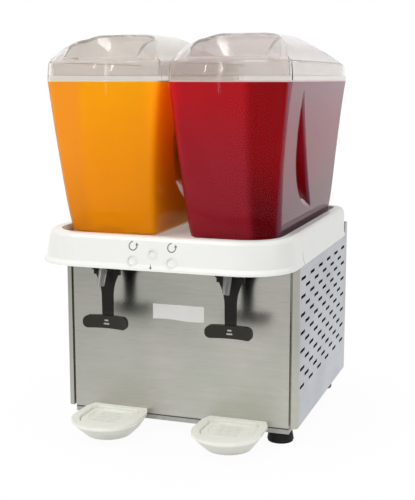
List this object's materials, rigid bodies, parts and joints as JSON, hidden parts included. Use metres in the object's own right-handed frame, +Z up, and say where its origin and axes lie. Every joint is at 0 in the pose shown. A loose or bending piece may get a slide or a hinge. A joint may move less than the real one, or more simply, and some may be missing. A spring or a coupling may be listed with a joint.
{
  "type": "juice dispenser",
  "caption": "Chilled juice dispenser with clear lift-off tanks side by side under domed lids, push-lever taps, drip trays, and a cooling unit in a slotted steel cabinet.",
  "frame": {"origin": "on the surface under the feet, below the middle of the overall box", "axes": "+Z up, -Y out of the front with the taps, +X to the right as seen by someone who faces the front"},
  "size_m": [0.414, 0.509, 0.6455],
  "materials": {
    "deck_plastic": "satin moulded plastic",
    "front_steel": "brushed horizontally",
    "side_steel": "fine satin",
    "frame_steel": "zinc grey",
    "screw_steel": "bright",
    "pin_steel": "ground",
    "tank_clear": "clear",
    "lid_clear": "clear, warm grey",
    "dome_steel": "polished",
    "magnet_steel": "plain",
    "impeller_plastic": "moulded",
    "tap_plastic": "moulded",
    "nozzle_plastic": "milky, translucent",
    "lever_plastic": "black",
    "tray_plastic": "off-white",
    "switch_ring": "white, faintly grey",
    "switch_rocker": "white",
    "label_film": "white film",
    "seal_rubber": "food grade, pale",
    "black_rubber": "matte",
    "compressor_paint": "black enamel",
    "motor_metal": "grey",
    "fin_coating": "black coated",
    "shroud_plastic": "black",
    "copper_tube": "copper",
    "gland_plastic": "black",
    "box_plastic": "grey"
  },
  "bodies": {
    "cabinet": {"base_pan": "frame_steel", "feet": "black_rubber", "foot_screws": "screw_steel", "chassis_frame": "frame_steel", "front_panel": "front_steel", "rear_panel": "side_steel", "rear_screws": "screw_steel", "cable_gland": "gland_plastic", "top_deck": "deck_plastic", "switch_bezels": "switch_ring", "front_label": "label_film", "compressor": "compressor_paint", "compressor_mounts": "black_rubber", "condenser": "fin_coating", "fan_shroud": "shroud_plastic", "fan_motor": "motor_metal", "filter_drier": "copper_tube", "refrigerant_lines": "copper_tube", "thermostat": "box_plastic", "tank_seals": "seal_rubber", "tap_seals": "seal_rubber", "tap_caps": "tap_plastic", "lever_pins": "pin_steel", "side_panel_left": "side_steel", "side_panel_right": "side_steel", "corner_post_left": "front_steel", "corner_post_right": "front_steel", "evaporator_left": "dome_steel", "evaporator_right": "dome_steel", "evaporator_coil_left": "copper_tube", "evaporator_coil_right": "copper_tube", "agitator_motor_left": "motor_metal", "agitator_motor_right": "motor_metal", "tap_body_left": "tap_plastic", "tap_body_right": "tap_plastic", "nozzle_left": "nozzle_plastic", "nozzle_right": "nozzle_plastic", "tap_spring_left": "pin_steel", "tap_spring_right": "pin_steel"},
    "fan": {"fan": "shroud_plastic"},
    "rocker_left": {"rocker_left": "switch_rocker"},
    "rocker_right": {"rocker_right": "switch_rocker"},
    "rocker_cooling": {"rocker_cooling": "switch_rocker"},
    "tank_left": {"tank_left": "tank_clear"},
    "lid_left": {"lid_left": "lid_clear"},
    "lever_left": {"lever_left": "lever_plastic"},
    "tap_piston_left": {"tap_piston_left": "tap_plastic"},
    "drive_left": {"drive_left": "magnet_steel"},
    "impeller_left": {"impeller_left": "impeller_plastic"},
    "drip_tray_left": {"drip_tray_left": "tray_plastic"},
    "drip_insert_left": {"drip_insert_left": "tray_plastic"},
    "tank_right": {"tank_right": "tank_clear"},
    "lid_right": {"lid_right": "lid_clear"},
    "lever_right": {"lever_right": "lever_plastic"},
    "tap_piston_right": {"tap_piston_right": "tap_plastic"},
    "drive_right": {"drive_right": "magnet_steel"},
    "impeller_right": {"impeller_right": "impeller_plastic"},
    "drip_tray_right": {"drip_tray_right": "tray_plastic"},
    "drip_insert_right": {"drip_insert_right": "tray_plastic"}
  },
  "joints": [
    {"name": "fan_spin", "type": "hinge", "parent": "cabinet", "child": "fan", "pos_m": [0.114, 0.0815, 0.15], "axis": [1, 0, 0], "continuous": true},
    {"name": "rocker_left_tilt", "type": "hinge", "parent": "cabinet", "child": "rocker_left", "pos_m": [-0.0316, -0.24198, 0.30513], "axis": [1, 0, 0], "range_deg": [0, 14]},
    {"name": "rocker_right_tilt", "type": "hinge", "parent": "cabinet", "child": "rocker_right", "pos_m": [0.0316, -0.24198, 0.30513], "axis": [1, 0, 0], "range_deg": [0, 14]},
    {"name": "rocker_cooling_tilt", "type": "hinge", "parent": "cabinet", "child": "rocker_cooling", "pos_m": [0, -0.23932, 0.31713], "axis": [1, 0, 0], "range_deg": [0, 14]},
    {"name": "tank_left_lift", "type": "slide", "parent": "cabinet", "child": "tank_left", "axis": [0, 0, 1], "range_m": [0, 0.2]},
    {"name": "lid_left_lift", "type": "slide", "parent": "tank_left", "child": "lid_left", "axis": [0, 0, 1], "range_m": [0, 0.06]},
    {"name": "lever_left_swing", "type": "hinge", "parent": "cabinet", "child": "lever_left", "pos_m": [-0.1035, -0.2035, 0.292], "axis": [1, 0, 0], "range_deg": [0, 12], "stiffness_Nm_per_rad": 1.5, "springref_deg": -5.73},
    {"name": "tap_piston_left_lift", "type": "slide", "parent": "cabinet", "child": "tap_piston_left", "axis": [0, 0, 1], "range_m": [0, 0.0062], "deforming": ["tap_spring_left"]},
    {"name": "drive_left_spin", "type": "hinge", "parent": "cabinet", "child": "drive_left", "pos_m": [-0.1015, 0.0465, 0.329], "axis": [0, 0, 1], "continuous": true},
    {"name": "impeller_left_spin", "type": "hinge", "parent": "cabinet", "child": "impeller_left", "pos_m": [-0.1015, 0.0465, 0.458], "axis": [0, 0, 1], "continuous": true},
    {"name": "drip_tray_left_pull", "type": "slide", "parent": "cabinet", "child": "drip_tray_left", "axis": [0, -1, 0], "range_m": [0, 0.06]},
    {"name": "drip_insert_left_lift", "type": "slide", "parent": "drip_tray_left", "child": "drip_insert_left", "axis": [0, 0, 1], "range_m": [0, 0.03]},
    {"name": "tank_right_lift", "type": "slide", "parent": "cabinet", "child": "tank_right", "axis": [0, 0, 1], "range_m": [0, 0.2]},
    {"name": "lid_right_lift", "type": "slide", "parent": "tank_right", "child": "lid_right", "axis": [0, 0, 1], "range_m": [0, 0.06]},
    {"name": "lever_right_swing", "type": "hinge", "parent": "cabinet", "child": "lever_right", "pos_m": [0.1035, -0.2035, 0.292], "axis": [1, 0, 0], "range_deg": [0, 12], "stiffness_Nm_per_rad": 1.5, "springref_deg": -5.73},
    {"name": "tap_piston_right_lift", "type": "slide", "parent": "cabinet", "child": "tap_piston_right", "axis": [0, 0, 1], "range_m": [0, 0.0062], "deforming": ["tap_spring_right"]},
    {"name": "drive_right_spin", "type": "hinge", "parent": "cabinet", "child": "drive_right", "pos_m": [0.1015, 0.0465, 0.329], "axis": [0, 0, 1], "continuous": true},
    {"name": "impeller_right_spin", "type": "hinge", "parent": "cabinet", "child": "impeller_right", "pos_m": [0.1015, 0.0465, 0.458], "axis": [0, 0, 1], "continuous": true},
    {"name": "drip_tray_right_pull", "type": "slide", "parent": "cabinet", "child": "drip_tray_right", "axis": [0, -1, 0], "range_m": [0, 0.06]},
    {"name": "drip_insert_right_lift", "type": "slide", "parent": "drip_tray_right", "child": "drip_insert_right", "axis": [0, 0, 1], "range_m": [0, 0.03]}
  ],
  "couplings": [
    {"joint": "tap_piston_left_lift", "follows": "lever_left_swing", "m_per_rad": 0.0296},
    {"joint": "impeller_left_spin", "follows": "drive_left_spin", "ratio": 1},
    {"joint": "tap_piston_right_lift", "follows": "lever_right_swing", "m_per_rad": 0.0296},
    {"joint": "impeller_right_spin", "follows": "drive_right_spin", "ratio": 1}
  ]
}
